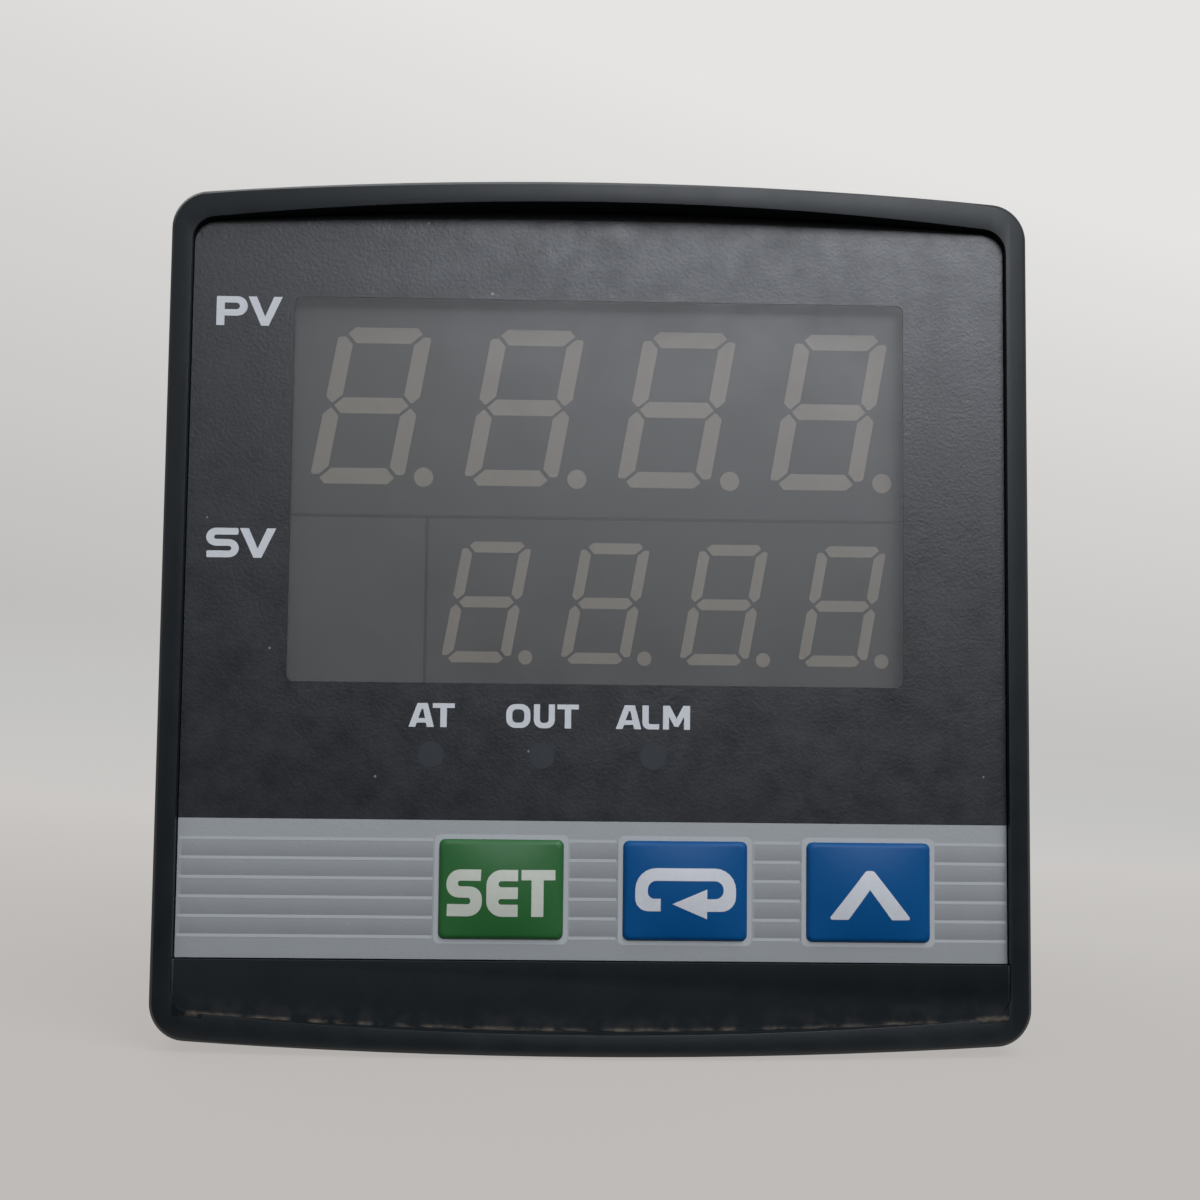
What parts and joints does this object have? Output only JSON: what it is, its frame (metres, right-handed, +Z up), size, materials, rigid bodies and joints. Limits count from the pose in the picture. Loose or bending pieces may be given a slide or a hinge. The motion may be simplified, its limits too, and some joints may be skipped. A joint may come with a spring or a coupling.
{
  "type": "PID temperature controller",
  "caption": "Square panel-mounted temperature controller with two unlit numeric displays, three keys and rear screw terminals.",
  "frame": {"origin": "centre of the panel cut-out, on the panel's front face, where the bezel's flange seats", "axes": "+Y into the panel towards the terminals, so the face looks along -Y; +Z up; +X right as seen from the front"},
  "size_m": [0.072, 0.0975, 0.0716],
  "materials": {
    "bezel_plastic": "fine-grained black moulding",
    "case_plastic": "fine-grained black moulding",
    "film": "satin dark grey printed film",
    "smoked_pane": "smoked, satin front",
    "green_key": "satin green",
    "blue_key": "satin blue",
    "switch_plastic": "plain black",
    "switch_stem": "plain ivory",
    "display_case": "matt grey face",
    "diffuser": "unlit milky diffuser",
    "display_blank": "matt grey moulding",
    "lamp_lens": "milky epoxy",
    "circuit_board": "green solder mask",
    "tinned_pins": "tinned",
    "header_plastic": "plain black",
    "ferrite": "dull dark grey",
    "winding_tape": "yellow tape",
    "bobbin": "plain black",
    "can_sleeve": "dark shrink sleeve",
    "fuse_body": "brown moulding",
    "chip_body": "plain black",
    "relay_case": "blue moulding",
    "block_plastic": "fine-grained black moulding",
    "contact_brass": "tinned brass",
    "washer_steel": "zinc plated",
    "screw_steel": "zinc plated"
  },
  "bodies": {
    "case": {"bezel": "bezel_plastic", "front_film": "film", "display_window": "smoked_pane", "switch_bodies": "switch_plastic", "upper_display": "display_case", "upper_digits": "diffuser", "lower_display": "display_case", "lower_digits": "diffuser", "display_blank": "display_blank", "indicator_lamps": "lamp_lens", "front_board": "circuit_board", "display_pins": "tinned_pins", "power_board": "circuit_board", "output_board": "circuit_board", "board_headers": "header_plastic", "transformer_core": "ferrite", "transformer_coil": "winding_tape", "transformer_base": "bobbin", "capacitors": "can_sleeve", "fuse": "fuse_body", "chips": "chip_body", "output_relay": "relay_case", "alarm_relay": "relay_case", "housing": "case_plastic", "terminal_block": "block_plastic", "contact_plates": "contact_brass", "clamp_washers": "washer_steel", "terminal_screws": "screw_steel"},
    "set_button": {"set_key": "green_key", "set_switch_stem": "switch_stem"},
    "scroll_button": {"scroll_key": "blue_key", "scroll_switch_stem": "switch_stem"},
    "up_button": {"up_key": "blue_key", "up_switch_stem": "switch_stem"}
  },
  "joints": [
    {"name": "set_press", "type": "slide", "parent": "case", "child": "set_button", "axis": [0, 1, 0], "range_m": [0, 0.0003], "stiffness_N_per_m": 2000, "springref_m": -0.0003},
    {"name": "scroll_press", "type": "slide", "parent": "case", "child": "scroll_button", "axis": [0, 1, 0], "range_m": [0, 0.0003], "stiffness_N_per_m": 2000, "springref_m": -0.0003},
    {"name": "up_press", "type": "slide", "parent": "case", "child": "up_button", "axis": [0, 1, 0], "range_m": [0, 0.0003], "stiffness_N_per_m": 2000, "springref_m": -0.0003}
  ]
}
